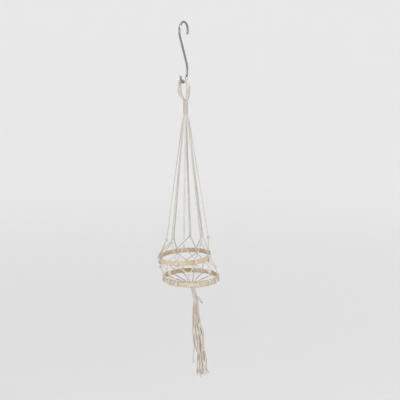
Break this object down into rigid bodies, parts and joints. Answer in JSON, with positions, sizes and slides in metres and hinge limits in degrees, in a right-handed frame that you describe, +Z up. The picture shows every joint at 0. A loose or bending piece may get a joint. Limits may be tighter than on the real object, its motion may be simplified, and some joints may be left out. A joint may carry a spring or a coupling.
{
  "type": "hanging macrame planter",
  "caption": "Knotted cotton cord plant hanger with two flat wooden hoops, an open net pocket for a small pot, a long tassel and an S-shaped wire hook.",
  "frame": {"origin": "centre of the rail that the hook hangs on, where the hook's upper bend is centred", "axes": "+Z up along the hanging planter, +X along the rail to the right, +Y towards the back"},
  "size_m": [0.1186, 0.111, 0.6885],
  "materials": {
    "cotton_cord": "matte",
    "wrap_cord": "matte",
    "bamboo_hoop": "satin",
    "chrome_wire": "polished"
  },
  "bodies": {
    "hook": {"s_hook": "chrome_wire"},
    "hanger": {"hanging_loop": "cotton_cord", "neck_core": "cotton_cord", "neck_wrap": "wrap_cord"},
    "upper_basket": {"suspension_cord_1": "cotton_cord", "suspension_cord_2": "cotton_cord", "suspension_cord_3": "cotton_cord", "suspension_cord_4": "cotton_cord", "suspension_cord_5": "cotton_cord", "suspension_cord_6": "cotton_cord", "suspension_cord_7": "cotton_cord", "suspension_cord_8": "cotton_cord", "first_row_knots": "cotton_cord", "upper_net_cord_1": "cotton_cord", "upper_net_cord_2": "cotton_cord", "upper_net_cord_3": "cotton_cord", "upper_net_cord_4": "cotton_cord", "upper_net_cord_5": "cotton_cord", "upper_net_cord_6": "cotton_cord", "upper_net_cord_7": "cotton_cord", "upper_net_cord_8": "cotton_cord", "upper_hoop": "bamboo_hoop", "upper_lashings": "cotton_cord", "middle_net_cord_1": "cotton_cord", "middle_net_cord_2": "cotton_cord", "middle_net_cord_3": "cotton_cord", "middle_net_cord_4": "cotton_cord", "middle_net_cord_5": "cotton_cord", "middle_net_cord_6": "cotton_cord", "middle_net_cord_7": "cotton_cord", "middle_net_cord_8": "cotton_cord", "middle_knots": "cotton_cord"},
    "lower_basket": {"lower_hoop": "bamboo_hoop", "lower_lashings": "cotton_cord", "base_net_cords_1": "cotton_cord", "base_net_cords_2": "cotton_cord", "base_net_cords_3": "cotton_cord", "base_net_cords_4": "cotton_cord", "gather_core": "cotton_cord", "gather_wrap": "wrap_cord", "wrap_tail": "cotton_cord"},
    "tassel": {"tassel_strand_1": "cotton_cord", "tassel_strand_2": "cotton_cord", "tassel_strand_3": "cotton_cord", "tassel_strand_4": "cotton_cord", "tassel_strand_5": "cotton_cord", "tassel_strand_6": "cotton_cord", "tassel_strand_7": "cotton_cord", "tassel_strand_8": "cotton_cord", "tassel_strand_9": "cotton_cord", "tassel_strand_10": "cotton_cord", "tassel_strand_11": "cotton_cord", "tassel_strand_12": "cotton_cord", "tassel_strand_13": "cotton_cord", "tassel_strand_14": "cotton_cord", "tassel_strand_15": "cotton_cord", "tassel_strand_16": "cotton_cord"}
  },
  "joints": [
    {"name": "loop_swing", "type": "hinge", "parent": "hook", "child": "hanger", "pos_m": [0, 0, -0.095], "axis": [0.4384, 0.8988, 0], "range_deg": [-40, 40]},
    {"name": "cord_twist", "type": "hinge", "parent": "hanger", "child": "upper_basket", "pos_m": [0.0037, 0, -0.155], "axis": [0, 0, 1], "range_deg": [-120, 120]},
    {"name": "basket_fold", "type": "slide", "parent": "upper_basket", "child": "lower_basket", "axis": [0, 0, 1], "range_m": [0, 0.022], "deforming": ["middle_net_cord_1", "middle_net_cord_2", "middle_net_cord_3", "middle_net_cord_4", "middle_net_cord_5", "middle_net_cord_6", "middle_net_cord_7", "middle_net_cord_8", "middle_knots"]},
    {"name": "tassel_swing", "type": "hinge", "parent": "lower_basket", "child": "tassel", "pos_m": [0.0217, 0, -0.51471], "axis": [0, 1, 0], "range_deg": [-35, 35]}
  ]
}
